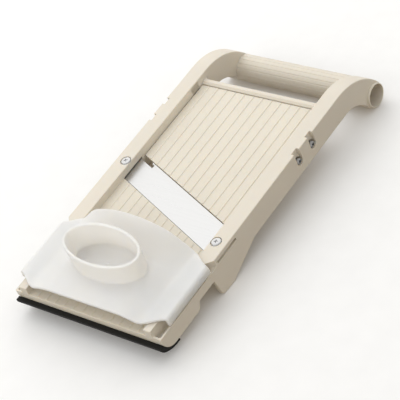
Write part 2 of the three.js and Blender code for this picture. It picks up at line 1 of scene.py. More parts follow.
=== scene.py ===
"""Looks of a mandoline slicer: ivory moulded frame, ribbed tables, ground steel blade and a milky guard.

Pieces are drawn in the rail frame, in millimetres: X across, Y from the foot to the handle and Z
normal to the rail tops, with z = 0 on the rail tops and y = 0 at the foot's front face. rail_frame()
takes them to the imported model's own frame.
"""

import json
import math

import bmesh
import bpy
from mathutils import Matrix, Vector

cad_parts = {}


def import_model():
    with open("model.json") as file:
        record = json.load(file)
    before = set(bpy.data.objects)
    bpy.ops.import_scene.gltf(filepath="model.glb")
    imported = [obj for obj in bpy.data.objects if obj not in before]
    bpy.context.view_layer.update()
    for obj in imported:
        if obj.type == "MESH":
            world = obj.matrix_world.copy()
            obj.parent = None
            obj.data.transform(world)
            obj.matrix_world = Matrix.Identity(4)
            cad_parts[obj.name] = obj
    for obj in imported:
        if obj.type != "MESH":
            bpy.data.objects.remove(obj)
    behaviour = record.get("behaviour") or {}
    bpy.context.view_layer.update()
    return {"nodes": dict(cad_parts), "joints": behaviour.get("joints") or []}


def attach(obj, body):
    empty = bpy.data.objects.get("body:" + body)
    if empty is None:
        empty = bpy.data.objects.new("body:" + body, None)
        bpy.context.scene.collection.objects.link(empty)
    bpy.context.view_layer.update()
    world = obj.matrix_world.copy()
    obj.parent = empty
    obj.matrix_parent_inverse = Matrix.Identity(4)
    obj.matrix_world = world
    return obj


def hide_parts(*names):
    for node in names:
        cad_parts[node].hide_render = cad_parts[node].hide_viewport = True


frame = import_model()

# ---------------------------------------------------------------- driving dimensions, mm
GAP = 0.3  # clearance under the blade and round the tray beside it
TUCK = 0.3  # how far the lower table and the crossbar reach into the rails
SINK = 0.5  # how far the fused parts of one piece reach into each other
HALF_WIDTH = 60.0
CHANNEL = 48.1
WALL = 2.4
RAIL_DEPTH = 17.3
INNER_DEPTH = 10.5
HOLLOW_FRONT = 15.0
BOSS_DEPTH = 14.0
BOSS_HALF = 6.5
INNER_WEB_Y = (6.0, 17.0)  # from the blade screw, towards the handle
PIVOT_SEAT = 4.0

LOWER_Z = -5.5
UPPER_Z = -6.1
TABLE_T = 2.4
TABLE_BACK = 196.7
RIB_PITCH = 7.54
RIB_COUNT = 12
RIB_HEIGHT = 0.45
# half of a rib's section: distance from its middle, height
RIB_FLANK = ((0.95, -0.4), (0.86, 0.02), (0.62, 0.28), (0.34, 0.42))
LOWER_FRONT = 0.6
LOWER_GAP = 0.35  # between the lower table and the blade's back edge
UPPER_SIDE_GAP = 0.6
STIFFENERS = (-30, -10, 10, 30)
STIFFENER_HALF = 0.8
STIFFENER_Y = (1.5, 62.0)
STIFFENER_FLOOR = -12.0

FOOT_DEPTH = 17.9
FOOT_R = 9.8
FOOT_BACK = 35.0
FOOT_FLOOR = 16.0  # how far the front wall runs on under the foot
LEDGE_Z = -5.3
LEDGE_END = 54.5
LEDGE_SLANT = 8.0
RIDGE_X = 54.0
CORNER_POCKET = ((RIDGE_X, 58.7), (1.3, 13.5), -9.5)  # x, y and floor
NOTCH = (38.3, 53.8)
NOTCH_Z = -12.4
HOOK_Z = -27.5
HOOK_FRONT = 58.0
HOOK_BACK = 69.5
HOOK_FRONT_CHAMFER = (1.9, 1.4)
HOOK_BACK_CHAMFER = (1.5, 1.3)
HOOK_RAMP_END = 97.5
RUBBER_BACK = 13.0
RUBBER_SKIRT = (
    (-3.0, -11.0),
    (-3.0, -12.8),
    (-2.4, -14.0),
    (-1.4, -15.2),
    (0.0, -16.3),
    (1.8, -17.3),
    (4.0, -18.3),
    (6.5, -19.05),
    (9.5, -19.5),
    (RUBBER_BACK, -19.55),
)

ARM_START = 206.0
ARM_R = 47.0
ARM_SWEEP = math.radians(59.8)
ARM_END_R = 9.2
ARM_INNER_R = 26.0
GRIP_R = 9.45
GRIP_BANDS = 18
GRIP_BAND = ((0.04, 0.28), (0.14, 0.0), (0.5, -0.05), (0.86, 0.0), (0.96, 0.28))  # place, depth
COLLAR_R = 8.4
COLLAR_OUT = 1.75
BORE_R = 7.8
CROSSBAR_FRONT = 197.4
CROSSBAR_BACK = 201.4
CROSSBAR_Z = (-14.0, -4.4)
CROSSBAR_CORNER = 3.0
CROSSBAR_SLANT = (1.9, 2.4)  # how far back and down it reaches

BLADE_ANGLE = math.radians(21.4)
BLADE_Y = 94.5
BLADE_TOP = -5.8
BLADE_T = 1.0
BLADE_BEVEL = 0.75
BLADE_LEFT = -56.0
BLADE_RIGHT = 57.0
EDGE_LEFT = -34.8
EDGE_RIGHT = 47.5
SLOT_END = 57.4
SLOT_TOP = -5.1
SLIT = (-5.0, -2.9)  # z range of the opening in the right rail's outer face
POCKET_X = -33.0
POCKET_Z = -16.8
POCKET_T = 1.5
BLADE_SCREW_X = 52.1
BLADE_SCREW_LENGTH = 17.0
BLADE_SCREW_R = 1.9
BLADE_SCREW_DOME = (
    (3.2, -0.8),
    (3.35, -0.6),
    (3.38, -0.2),
    (3.2, 0.0),
    (2.7, 0.16),
    (1.9, 0.28),
    (1.0, 0.34),
    (0.0, 0.36),
)
BLADE_HOLE_R = 2.3
HEAD_POCKET_R = 3.85

# across the blade, from the line through its two screws
BLADE_BACK = -7.7
BLADE_TANG = 9.8
BLADE_EDGE = 13.3
SLOT_BACK = -8.1
SLOT_FRONT = 11.0
SEAT_FRONT = 6.0
POCKET_BACK = 6.3
POCKET_FRONT = 15.0
THROAT = 0.6  # from the blade's edge to the thickness table

PIVOT = (190.0, -10.6)
PIVOT_HOLE_R = 2.3
PIVOT_BOSS_X = 39.0
PIVOT_BOSS_HALF = 3.5
PIVOT_BOSS_DROP = 3.2
NUT_BOSS_R = 6.4
NUT_BOSS_Z = -11.6
NUT_HOLE_R = 4.3
NUT_HOLE_TOP = -8.1
BRIDGE_SCREWS = (155.5, 171.3)
BRIDGE_SCREW_Z = -8.5
BRIDGE_SCREW_LENGTH = 7.0
BRIDGE_SCREW_R = 1.45
BRIDGE_SCREW_DOME = (
    (2.2, 0.0),
    (2.3, 0.2),
    (2.35, 0.9),
    (2.15, 1.35),
    (1.6, 1.75),
    (0.8, 1.95),
    (0.0, 2.0),
)
COUNTERBORE_R = 2.8
COUNTERBORE_X = (56.2, 58.0)
BRIDGE_Y = (151.5, 175.5)
BRIDGE_Z = (-17.0, -14.2)
BRIDGE_END = 55.2
BRIDGE_WALL = 2.0
BRIDGE_WALL_TOP = -11.4
BRIDGE_HOLE_R = 1.8
BRIDGE_BOSS_X = 55.5
BRIDGE_BOSS_Y = (148, 179)
EAR_X = 51.0
EAR_TOP = -3.0
GROOVE_HALF = 3.0
GROOVE_FLOOR = 57.6
KNOB_Y = 163.2
KNOB_R = 14.98
KNOB_Z = (-28.0, -20.5)
KNOB_FLUTES = 18
KNOB_FLUTE = ((0.0, 0.98), (0.18, 0.23), (0.35, 0.0), (0.65, 0.0), (0.82, 0.23))  # place, depth
HUB_R = 6.0
HUB_TOP = -18.2
KNOB_DISH_R = 11.0
KNOB_DISH_Z = -27.0
SHAFT_HOLE_R = 2.8

GUARD_HALF = 60.9
GUARD_TOP = 2.4
GUARD_T = 2.0
GUARD_LIP = -3.7
GUARD_FRONT = 1.6
GUARD_BACK = 62.0
GUARD_ROUND = 2.6
FRONT_SWEEP = (42.0, 19.0, 8.6)  # start, width and depth of the corners' sweep
BACK_SWEEP = (43.0, 18.0, 7.8)
CROWN_RISE = 3.1
CROWN_SLOPE = 0.033
ARCH_HALF = 46.0
ARCH_START = 43.0
ARCH_RISE = 14.5
CUP_Y = 33.0
CUP_T = 2.0
CUP_BASE = (28.6, 15.0)
CUP_RIM = (30.6, 14.4)
CUP_RIM_Z = (20.0, 25.5)  # at its front and at its back
SPIKE_XS = (-16, -8, 0, 8, 16)
SPIKE_YS = (26, 33, 40)
SPIKE_PROFILE = ((0, -3.6), (0.4, -3.6), (0.9, 0), (1.5, 5.4), (0, 5.4))
DOT_PROFILE = ((0, 5.5), (1.2, 5.5), (1.2, 6.8), (0.8, 7.1), (0, 7.15))
VOXEL = 0.45  # grid on which the guard's parts are melted together

CAMERA_EYE = Vector((658.2, -390.1, 705.7))
CAMERA_FORWARD = Vector((-0.59564544, 0.45851139, -0.65952544))
CAMERA_UP = Vector((-0.21535722, 0.69985449, 0.68104696))
CAMERA_LENS = 154.22
FLOOR_HALF = 40.0  # this and the next are in metres
FLOOR_Z = -0.0002


def joint(name):
    return next(j for j in frame["joints"] if j["name"] == name)


def rail_tilt():
    axis = joint("guard_lift")["axis"]
    return math.atan2(-axis[1], axis[2])


def rail_frame():
    """From the rail frame in millimetres to the row frame in metres."""
    turn = Matrix.Rotation(rail_tilt(), 4, "X") @ Matrix.Scale(0.001, 4)
    pivot = Vector(joint("table_tilt")["pos_m"])
    return Matrix.Translation(pivot - turn @ Vector((0, *PIVOT))) @ turn


RAIL = rail_frame()


# ---------------------------------------------------------------- shape helpers
def add_object(name, mesh):
    bmesh.ops.recalc_face_normals(mesh, faces=mesh.faces[:])
    data = bpy.data.meshes.new(name)
    mesh.to_mesh(data)
    mesh.free()
    obj = bpy.data.objects.new(name, data)
    bpy.context.scene.collection.objects.link(obj)
    return obj


def round_edges(mesh, width, segments, angle):
    edges = [e for e in mesh.edges if e.calc_face_angle(0) > math.radians(angle)]
    bmesh.ops.bevel(
        mesh, geom=edges, offset=width, segments=segments, profile=0.5, affect="EDGES", clamp_overlap=False
    )


def prism(points, lo, hi, axis="Z", edge=0.0, segments=3, angle=30.0):
    """A flat outline drawn out along Z, from (x, y) points, or along X, from (y, z) points."""
    mesh = bmesh.new()

    def ring(t):
        if axis == "X":
            return [mesh.verts.new((t, a, b)) for a, b in points]
        return [mesh.verts.new((a, b, t)) for a, b in points]

    low, high = ring(lo), ring(hi)
    mesh.faces.new(low)
    mesh.faces.new(high)
    for i in range(len(points)):
        n = (i + 1) % len(points)
        mesh.faces.new((low[i], low[n], high[n], high[i]))
    bmesh.ops.recalc_face_normals(mesh, faces=mesh.faces[:])
    if edge:
        round_edges(mesh, edge, segments, angle)
    return add_object("prism", mesh)


def block(x0, x1, y0, y1, z0, z1, edge=0.0):
    return prism([(x0, y0), (x1, y0), (x1, y1), (x0, y1)], z0, z1, edge=edge)


def polar(a, b, r, degrees):
    """The point at an angle and a radius from the centre (a, b)."""
    angle = math.radians(degrees)
    return (a + r * math.cos(angle), b + r * math.sin(angle))


def arc(cy, cz, r, start, end, steps):
    """Points on a circle from one angle to another, in degrees."""
    return [polar(cy, cz, r, start + (end - start) * i / steps) for i in range(steps + 1)]


def rod_x(y, z, r, x0, x1, steps=48, edge=0.0):
    return prism(arc(y, z, r, 0, 360, steps)[:-1], x0, x1, "X", edge)


def rod_z(x, y, r, z0, z1, steps=48, edge=0.0):
    return prism(arc(x, y, r, 0, 360, steps)[:-1], z0, z1, "Z", edge)


def lathe_z(x, y, profile, steps=48):
    """A closed (r, z) profile turned about a vertical line; it starts and ends on the axis."""
    mesh = bmesh.new()
    bottom = mesh.verts.new((x, y, profile[0][1]))
    top = mesh.verts.new((x, y, profile[-1][1]))
    rings = []
    for r, z in profile[1:-1]:
        angles = [2 * math.pi * i / steps for i in range(steps)]
        rings.append([mesh.verts.new((x + r * math.cos(a), y + r * math.sin(a), z)) for a in angles])
    for i in range(steps):
        n = (i + 1) % steps
        mesh.faces.new((bottom, rings[0][n], rings[0][i]))
        mesh.faces.new((top, rings[-1][i], rings[-1][n]))
        for lower, upper in zip(rings, rings[1:]):
            mesh.faces.new((lower[i], lower[n], upper[n], upper[i]))
    return add_object("turned", mesh)


def apply_modifiers(obj):
    bpy.context.view_layer.update()
    graph = bpy.context.evaluated_depsgraph_get()
    old = obj.data
    obj.data = bpy.data.meshes.new_from_object(obj.evaluated_get(graph))
    obj.modifiers.clear()
    bpy.data.meshes.remove(old)


def combine(target, tools, operation):
    for tool in tools:
        step = target.modifiers.new("step", "BOOLEAN")
        step.operation = operation
        step.solver = "EXACT"
        step.object = tool
    apply_modifiers(target)
    for tool in tools:
        bpy.data.objects.remove(tool)
    return target


def gather(name, *parts):
    """One mesh of several closed shells, for a voxel remesh to melt together."""
    mesh = bmesh.new()
    for part in parts:
        mesh.from_mesh(part.data)
        bpy.data.objects.remove(part)
    return add_object(name, mesh)


def fuse(target, *tools):
    return combine(target, tools, "UNION")


def carve(target, *tools):
    return combine(target, tools, "DIFFERENCE")


def settle(obj, name, body, material, nodes, smooth=35.0):
    obj.name = name
    obj.data.name = name
    obj.data.transform(RAIL)
    obj.data.shade_smooth()
    obj.data.set_sharp_from_angle(angle=math.radians(smooth))
    weighted = obj.modifiers.new("normals", "WEIGHTED_NORMAL")
    weighted.keep_sharp = True
    weighted.weight = 100
    apply_modifiers(obj)
    obj.data.materials.clear()
    obj.data.materials.append(material)
    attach(obj, body)
    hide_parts(*nodes)


def mirrored(side, x0, x1):
    """A span across the right half, or its mirror image for side = -1."""
    return (x0, x1) if side > 0 else (-x1, -x0)


def on_blade(x, across):
    """A plan point on the line `across` millimetres from the blade's screw line."""
    return (x, BLADE_Y + across / math.cos(BLADE_ANGLE) - x * math.tan(BLADE_ANGLE))


# ---------------------------------------------------------------- derived places
AXIS = (
    ARM_START + (ARM_R - ARM_END_R) * math.sin(ARM_SWEEP),
    -ARM_R + (ARM_R - ARM_END_R) * math.cos(ARM_SWEEP),
)
INNER_Z = -RAIL_DEPTH - ARM_INNER_R
INNER = (AXIS[0] - math.sqrt((ARM_INNER_R + ARM_END_R) ** 2 - (AXIS[1] - INNER_Z) ** 2), INNER_Z)
HOOK_MID = (HOOK_FRONT + HOOK_BACK) / 2
HOOK_SLOPE = math.tan(rail_tilt())


def hook_z(y):
    return HOOK_Z - HOOK_SLOPE * (y - HOOK_MID)


def screw_y(side):
    return on_blade(side * BLADE_SCREW_X, 0)[1]


# ---------------------------------------------------------------- materials
def node_material(name):
    material = bpy.data.materials.new(name)
    material.use_nodes = True
    nodes = material.node_tree.nodes
    return material, nodes, material.node_tree.links, nodes["Principled BSDF"]


def noise(nodes, links, scale, detail=3.0, stretch=(1, 1, 1), turn=0.0):
    coords = nodes.new("ShaderNodeTexCoord")
    mapping = nodes.new("ShaderNodeMapping")
    mapping.inputs["Scale"].default_value = stretch
    mapping.inputs["Rotation"].default_value = (0, 0, turn)
    texture = nodes.new("ShaderNodeTexNoise")
    texture.inputs["Scale"].default_value = scale
    texture.inputs["Detail"].default_value = detail
    links.new(coords.outputs["Object"], mapping.inputs["Vector"])
    links.new(mapping.outputs["Vector"], texture.inputs["Vector"])
    return texture.outputs["Fac"]


def ramp(nodes, links, fac, low, high, start=0.3, end=0.7):
    node = nodes.new("ShaderNodeValToRGB")
    node.color_ramp.elements[0].position = start
    node.color_ramp.elements[1].position = end
    node.color_ramp.elements[0].color = low
    node.color_ramp.elements[1].color = high
    links.new(fac, node.inputs["Fac"])
    return node.outputs["Color"]


def bump(nodes, links, fac, strength, distance, shader):
    node = nodes.new("ShaderNodeBump")
    node.inputs["Strength"].default_value = strength
    node.inputs["Distance"].default_value = distance
    links.new(fac, node.inputs["Height"])
    links.new(node.outputs["Normal"], shader.inputs["Normal"])


def grey(value):
    return (value, value, value, 1)


def moulded_plastic(name, color, tone=0.03):
    """Injection-moulded plastic: faint flow mottling, a fine mould grain and uneven gloss."""
    material, nodes, links, shader = node_material(name)
    dark = tuple(c * (1 - tone) for c in color) + (1,)
    mottle = noise(nodes, links, 28, 2)
    gloss = noise(nodes, links, 90)
    links.new(ramp(nodes, links, mottle, dark, (*color, 1)), shader.inputs["Base Color"])
    links.new(ramp(nodes, links, gloss, grey(0.36), grey(0.5)), shader.inputs["Roughness"])
    bump(nodes, links, noise(nodes, links, 2600, 2), 0.12, 0.00005, shader)
    shader.inputs["IOR"].default_value = 1.5
    shader.inputs["Subsurface Weight"].default_value = 0.3
    shader.inputs["Subsurface Radius"].default_value = (1.0, 0.8, 0.55)
    shader.inputs["Subsurface Scale"].default_value = 0.002
    return material


def milky_plastic(name):
    """Natural polypropylene: light spreads inside it, and a little comes straight through."""
    material, nodes, links, shader = node_material(name)
    cloud = noise(nodes, links, 35, 3)
    gloss = noise(nodes, links, 120)
    color = ramp(nodes, links, cloud, (0.945, 0.905, 0.86, 1), (0.975, 0.94, 0.895, 1))
    links.new(color, shader.inputs["Base Color"])
    links.new(ramp(nodes, links, gloss, grey(0.34), grey(0.46)), shader.inputs["Roughness"])
    bump(nodes, links, noise(nodes, links, 2200, 2), 0.1, 0.00005, shader)
    shader.inputs["IOR"].default_value = 1.49
    shader.inputs["Subsurface Weight"].default_value = 1.0
    shader.inputs["Subsurface Radius"].default_value = (1.0, 0.95, 0.85)
    shader.inputs["Subsurface Scale"].default_value = 0.005
    shader.inputs["Transmission Weight"].default_value = 0.11
    return material


def ground_steel(name, color, roughness, stretch, scale=500, turn=0.0):
    """Steel with fine grinding lines along one direction."""
    material, nodes, links, shader = node_material(name)
    lines = noise(nodes, links, scale, 4, stretch, turn)
    links.new(ramp(nodes, links, lines, grey(color * 0.93), grey(color)), shader.inputs["Base Color"])
    gloss = ramp(nodes, links, lines, grey(roughness - 0.06), grey(roughness + 0.06))
    links.new(gloss, shader.inputs["Roughness"])
    bump(nodes, links, lines, 0.04, 0.00001, shader)
    shader.inputs["Metallic"].default_value = 1.0
    return material


def rubber(name):
    """Matt black rubber with a coarse grain."""
    material, nodes, links, shader = node_material(name)
    mottle = noise(nodes, links, 300)
    color = ramp(nodes, links, mottle, (0.006, 0.006, 0.0055, 1), (0.012, 0.012, 0.011, 1))
    links.new(color, shader.inputs["Base Color"])
    links.new(ramp(nodes, links, mottle, grey(0.55), grey(0.7)), shader.inputs["Roughness"])
    bump(nodes, links, noise(nodes, links, 1800, 2), 0.3, 0.0001, shader)
    shader.inputs["Specular IOR Level"].default_value = 0.2
    return material


IVORY = moulded_plastic("ivory_plastic", (0.75, 0.695, 0.6))
TABLE = moulded_plastic("table_plastic", (0.76, 0.705, 0.6))
MILKY = milky_plastic("milky_plastic")
BLADE_STEEL = ground_steel("blade_steel", 0.55, 0.32, (0.03, 1, 1), 700, BLADE_ANGLE)
SCREW_STEEL = ground_steel("screw_steel", 0.5, 0.3, (1, 1, 1), 900)
SIDE_STEEL = ground_steel("side_screw_steel", 0.36, 0.42, (1, 1, 1), 900)
NUT_METAL = ground_steel("nut_brass", 0.5, 0.3, (1, 1, 1), 900)
RUBBER = rubber("foot_rubber")


# ---------------------------------------------------------------- frame moulding
def arm_points():
    """The arm over its upper bend, round the handle's end and back along its lower bend."""
    to_bend = math.degrees(math.atan2(INNER[1] - AXIS[1], INNER[0] - AXIS[0]))
    sweep = 90 - math.degrees(ARM_SWEEP)
    return [
        *arc(ARM_START, -ARM_R, ARM_R, 90, sweep, 28),
        *arc(*AXIS, ARM_END_R, sweep, to_bend, 28)[1:],
        *arc(*INNER, ARM_INNER_R, to_bend + 180, 90, 14)[1:],
    ]


def side_points():
    """A rail's side: foot, arm, hook and the shallow notch ahead of the hook."""
    return [
        (0, 0),
        *arm_points(),
        (HOOK_RAMP_END, -RAIL_DEPTH),
        (HOOK_BACK + HOOK_BACK_CHAMFER[0], hook_z(HOOK_BACK) + HOOK_BACK_CHAMFER[1]),
        (HOOK_BACK, hook_z(HOOK_BACK)),
        (HOOK_FRONT, hook_z(HOOK_FRONT)),
        (HOOK_FRONT - HOOK_FRONT_CHAMFER[0], hook_z(HOOK_FRONT) + HOOK_FRONT_CHAMFER[1]),
        (NOTCH[1], NOTCH_Z),
        (NOTCH[0], NOTCH_Z),
        (FOOT_BACK + 1, -FOOT_DEPTH + 1),
        (FOOT_BACK, -FOOT_DEPTH),
        *arc(FOOT_R, FOOT_R - FOOT_DEPTH, FOOT_R, 270, 180, 14),
    ]


def blade_strip(x0, x1, back, front, z0, z1, edge=0.0):
    """A prism between two lines along the blade, cut off square across the slicer."""
    plan = [on_blade(x0, back), on_blade(x1, back), on_blade(x1, front), on_blade(x0, front)]
    return prism(plan, z0, z1, edge=edge)


def blade_slots(side):
    """The pocket for the blade's end, which opens through the right rail's outer face higher up."""
    span = mirrored(side, CHANNEL - 2, SLOT_END)
    slots = [blade_strip(*span, SLOT_BACK, SLOT_FRONT, BLADE_TOP - BLADE_T - GAP, SLOT_TOP)]
    if side > 0:
        slots.append(blade_strip(SLOT_END - 0.2, HALF_WIDTH + 1, SLOT_BACK, SLOT_FRONT, *SLIT, edge=0.4))
    return slots


def groove(side, y):
    """A screw groove in the rail's outer face, open at the top and round below."""
    half = GROOVE_HALF
    outline = [(y + half, 2), *arc(y, BRIDGE_SCREW_Z, half, 0, -180, 24), (y - half, 2)]
    return prism(outline, *mirrored(side, GROOVE_FLOOR, HALF_WIDTH + 1), "X")


def ledge_cutter(side):
    """The parking ledge for the guard's lip; it ends in a slant towards the outer face."""
    beyond = HALF_WIDTH + 2
    plan = [(RIDGE_X, -2), (beyond, -2), (beyond, LEDGE_END + LEDGE_SLANT), (RIDGE_X, LEDGE_END)]
    return prism([(side * x, y) for x, y in plan], LEDGE_Z, 2, edge=0.4)


def corner_pocket(side):
    """A shallow pocket in the ledge beside the foot's corner."""
    span, (y0, y1), floor_z = CORNER_POCKET
    return block(*mirrored(side, *span), y0, y1, floor_z, LEDGE_Z + 1, 0.8)


def rail_bosses(side, outer):
    """Thick places inside a rail: screw boss, inner web, seats of the bridge and the pivot, ledge."""
    y = screw_y(side)
    web_start, web_end = INNER_WEB_Y
    ledge_end = LEDGE_END + LEDGE_SLANT + SINK
    to_outer = mirrored(side, CHANNEL, outer + SINK)
    inner_web = mirrored(side, CHANNEL, CHANNEL + WALL)
    bridge_seat = mirrored(side, BRIDGE_BOSS_X, outer + SINK)
    under_ledge = mirrored(side, CHANNEL + 0.3, outer + SINK)
    return [
        block(*to_outer, y - BOSS_HALF, y + BOSS_HALF, -BOSS_DEPTH, -1),
        block(*inner_web, y + web_start, y + web_end, -RAIL_DEPTH, -1),
        block(*bridge_seat, *BRIDGE_BOSS_Y, -RAIL_DEPTH + 0.3, -1),
        block(*to_outer, PIVOT[0] - PIVOT_SEAT, PIVOT[0] + PIVOT_SEAT, PIVOT[1] - PIVOT_SEAT, -1),
        block(*under_ledge, HOLLOW_FRONT - SINK, ledge_end, LEDGE_Z - WALL, -1),
    ]


def side_rail(side, word):
    """A rail with its arm, hollow from below, with all its slots, holes and grooves."""
    body = prism(side_points(), *mirrored(side, CHANNEL, HALF_WIDTH), "X", edge=0.6)
    inner = CHANNEL + WALL
    outer = HALF_WIDTH - WALL
    below = -40
    hollows = [
        block(*mirrored(side, inner, outer), HOLLOW_FRONT, TABLE_BACK, below, -WALL),
        block(*mirrored(side, CHANNEL - 1, inner + 1), HOLLOW_FRONT, TABLE_BACK, below, -INNER_DEPTH),
    ]
    body = fuse(carve(body, *hollows), *rail_bosses(side, outer))
    x, y = side * BLADE_SCREW_X, screw_y(side)
    counterbore = mirrored(side, *COUNTERBORE_X)
    carve(
        body,
        ledge_cutter(side),
        corner_pocket(side),
        *[groove(side, gy) for gy in BRIDGE_SCREWS],
        *[rod_x(gy, BRIDGE_SCREW_Z, COUNTERBORE_R, *counterbore) for gy in BRIDGE_SCREWS],
        *blade_slots(side),
        rod_z(x, y, HEAD_POCKET_R, -1.0, 1),
        rod_z(x, y, BLADE_HOLE_R, -16, 0.5),
        rod_x(*AXIS, BORE_R, *mirrored(side, CHANNEL - 1, HALF_WIDTH + 1)),
    )
    settle(body, f"rail_{word}", "frame", IVORY, [f"side_rail_{word}"])


def handle():
    """A tube whose grip is covered with long flat bands between shallow creases."""
    points = []
    step = 360 / GRIP_BANDS
    for i in range(GRIP_BANDS):
        for part, depth in GRIP_BAND:
            points.append(polar(*AXIS, GRIP_R - depth, (i + part) * step))
    grip = prism(points, -CHANNEL - 0.6, CHANNEL + 0.6, "X")
    end = HALF_WIDTH + COLLAR_OUT
    collars = rod_x(*AXIS, COLLAR_R, -end, end, 64, 0.3)
    body = carve(fuse(grip, collars), rod_x(*AXIS, BORE_R, -end - 1, end + 1, 64))
    settle(body, "tube_handle", "frame", IVORY, ["handle"])


def crossbar():
    """A bar between the rails, flared into them at its back, with a slanted front edge."""
    half = CHANNEL + TUCK
    front = CROSSBAR_FRONT
    low, top = CROSSBAR_Z
    flare_x = CHANNEL - CROSSBAR_CORNER
    flare_y = CROSSBAR_BACK + CROSSBAR_CORNER
    plan = [
        (-half, front),
        (half, front),
        *arc(flare_x, flare_y, CROSSBAR_CORNER, 0, -90, 8),
        *arc(-flare_x, flare_y, CROSSBAR_CORNER, -90, -180, 8),
    ]
    body = prism(plan, low, top, edge=0.5)
    back, down = CROSSBAR_SLANT
    slant = [(front - 1, top - down), (front + back, top + 0.5), (front - 1, top + 0.5)]
    carve(body, prism(slant, -half - 1, half + 1, "X"))
    settle(body, "rear_crossbar", "frame", IVORY, ["crossbar"])


# ---------------------------------------------------------------- tables
def rib(x, y0, y1, top):
    """A low rounded rib along Y; its ends follow the slanted lines y0 and y1."""
    section = [*((-dx, dz) for dx, dz in RIB_FLANK), (0, RIB_HEIGHT), *RIB_FLANK[::-1]]
    mesh = bmesh.new()
    rings = []
    for limit in (y0, y1):
        rings.append([mesh.verts.new((x + dx, limit(x + dx), top + dz)) for dx, dz in section])
    mesh.faces.new(rings[0])
    mesh.faces.new(rings[1])
    for i in range(len(section)):
        n = (i + 1) % len(section)
        mesh.faces.new((rings[0][i], rings[0][n], rings[1][n], rings[1][i]))
    return add_object("rib", mesh)


def ribs(top, y0, y1):
    """Equally spaced ribs over the width of a table."""
    middle = (RIB_COUNT - 1) / 2
    return [rib((i - middle) * RIB_PITCH, y0, y1, top) for i in range(RIB_COUNT)]


def foot_front(half):
    """The foot's front wall, rounded into a short floor."""
    cz = FOOT_R - FOOT_DEPTH
    section = [
        (0, LOWER_Z),
        *arc(FOOT_R, cz, FOOT_R, 180, 270, 14),
        (FOOT_FLOOR, -FOOT_DEPTH),
        (FOOT_FLOOR, -FOOT_DEPTH + WALL),
        *arc(FOOT_R, cz, FOOT_R - WALL, 270, 180, 10),
        (WALL, LOWER_Z),
    ]
    return prism(section, -half, half, "X", edge=0.35, segments=2, angle=60)


def stiffener(x):
    """A thin wall along Y under the lower table."""
    return block(x - STIFFENER_HALF, x + STIFFENER_HALF, *STIFFENER_Y, STIFFENER_FLOOR, LOWER_Z - 1, 0.3)


def lower_table():
    """The ribbed entry table with the foot's front, stiffeners and the lower seat of the blade."""
    half = CHANNEL + TUCK
    back = BLADE_BACK - LOWER_GAP
    plan = [(-half, LOWER_FRONT), (half, LOWER_FRONT), on_blade(half, back), on_blade(-half, back)]
    plate = prism(plan, LOWER_Z - TABLE_T, LOWER_Z)
    seat_top = BLADE_TOP - BLADE_T - 0.1
    seat = blade_strip(-half, half, back - 4, SEAT_FRONT, seat_top - TABLE_T, seat_top)
    lines = ribs(LOWER_Z, lambda x: LOWER_FRONT + 0.2, lambda x: on_blade(x, back - 0.5)[1])
    body = fuse(plate, foot_front(half), seat, *[stiffener(x) for x in STIFFENERS], *lines)
    settle(body, "foot_table", "frame", TABLE, ["lower_table", "foot_shell"])


def tang_pocket():
    """An L-shaped tray that closes the space under the notch beside the blade's left tang."""
    span = (-CHANNEL + GAP, POCKET_X)
    low, high = POCKET_Z, BLADE_TOP - BLADE_T - GAP
    wall = blade_strip(*span, POCKET_BACK, POCKET_BACK + POCKET_T, low, high)
    tray = blade_strip(*span, POCKET_BACK + 0.1, POCKET_FRONT, low + 0.1, low + POCKET_T)
    settle(fuse(wall, tray), "tang_tray", "frame", TABLE, ["tang_pocket"])


def upper_table():
    """The ribbed thickness table with its two pivot bosses and the boss for the brass nut."""
    half = CHANNEL - UPPER_SIDE_GAP
    front = BLADE_EDGE + THROAT
    under = UPPER_Z - TABLE_T
    into = under + SINK
    plan = [on_blade(-half, front), on_blade(half, front), (half, TABLE_BACK), (-half, TABLE_BACK)]
    plate = prism(plan, under, UPPER_Z, edge=0.2, segments=2)
    y, z = PIVOT
    boss = (y - PIVOT_BOSS_HALF, y + PIVOT_BOSS_HALF, z - PIVOT_BOSS_DROP, into)
    pivots = [block(*mirrored(side, PIVOT_BOSS_X, half), *boss, 0.3) for side in (-1, 1)]
    front_wall = blade_strip(-40, 40, front + 3, front + 5, under - 1.6, into, edge=0.3)
    nut_boss = rod_z(0, KNOB_Y, NUT_BOSS_R, NUT_BOSS_Z, into, 48, 0.3)
    lines = ribs(UPPER_Z, lambda x: on_blade(x, front + 0.4)[1], lambda x: TABLE_BACK - 0.4)
    body = fuse(plate, nut_boss, front_wall, *pivots, *lines)
    holes = [rod_x(*PIVOT, PIVOT_HOLE_R, *mirrored(side, PIVOT_BOSS_X - 1, half + 1)) for side in (-1, 1)]
    carve(body, rod_z(0, KNOB_Y, NUT_HOLE_R, NUT_BOSS_Z - 1.4, NUT_HOLE_TOP), *holes)
    settle(body, "thickness_table", "upper_table", TABLE, ["upper_table"])


# ---------------------------------------------------------------- blade and screws
def bevel_cutter():
    """A wedge along the blade that grinds its longer edge down to a line along its top."""
    start, end = BLADE_TANG - 0.2, BLADE_EDGE
    low, high = BLADE_TOP - BLADE_BEVEL, BLADE_TOP
    corners = [(start, high), (end + 1, high + 1), (end + 1, low), (end, low)]
    wedge = bmesh.new()
    ends = [[wedge.verts.new((*on_blade(x, a), z)) for a, z in corners] for x in (-80, 80)]
    wedge.faces.new(ends[0])
    wedge.faces.new(ends[1])
    for i in range(4):
        n = (i + 1) % 4
        wedge.faces.new((ends[0][i], ends[0][n], ends[1][n], ends[1][i]))
    return add_object("wedge", wedge)


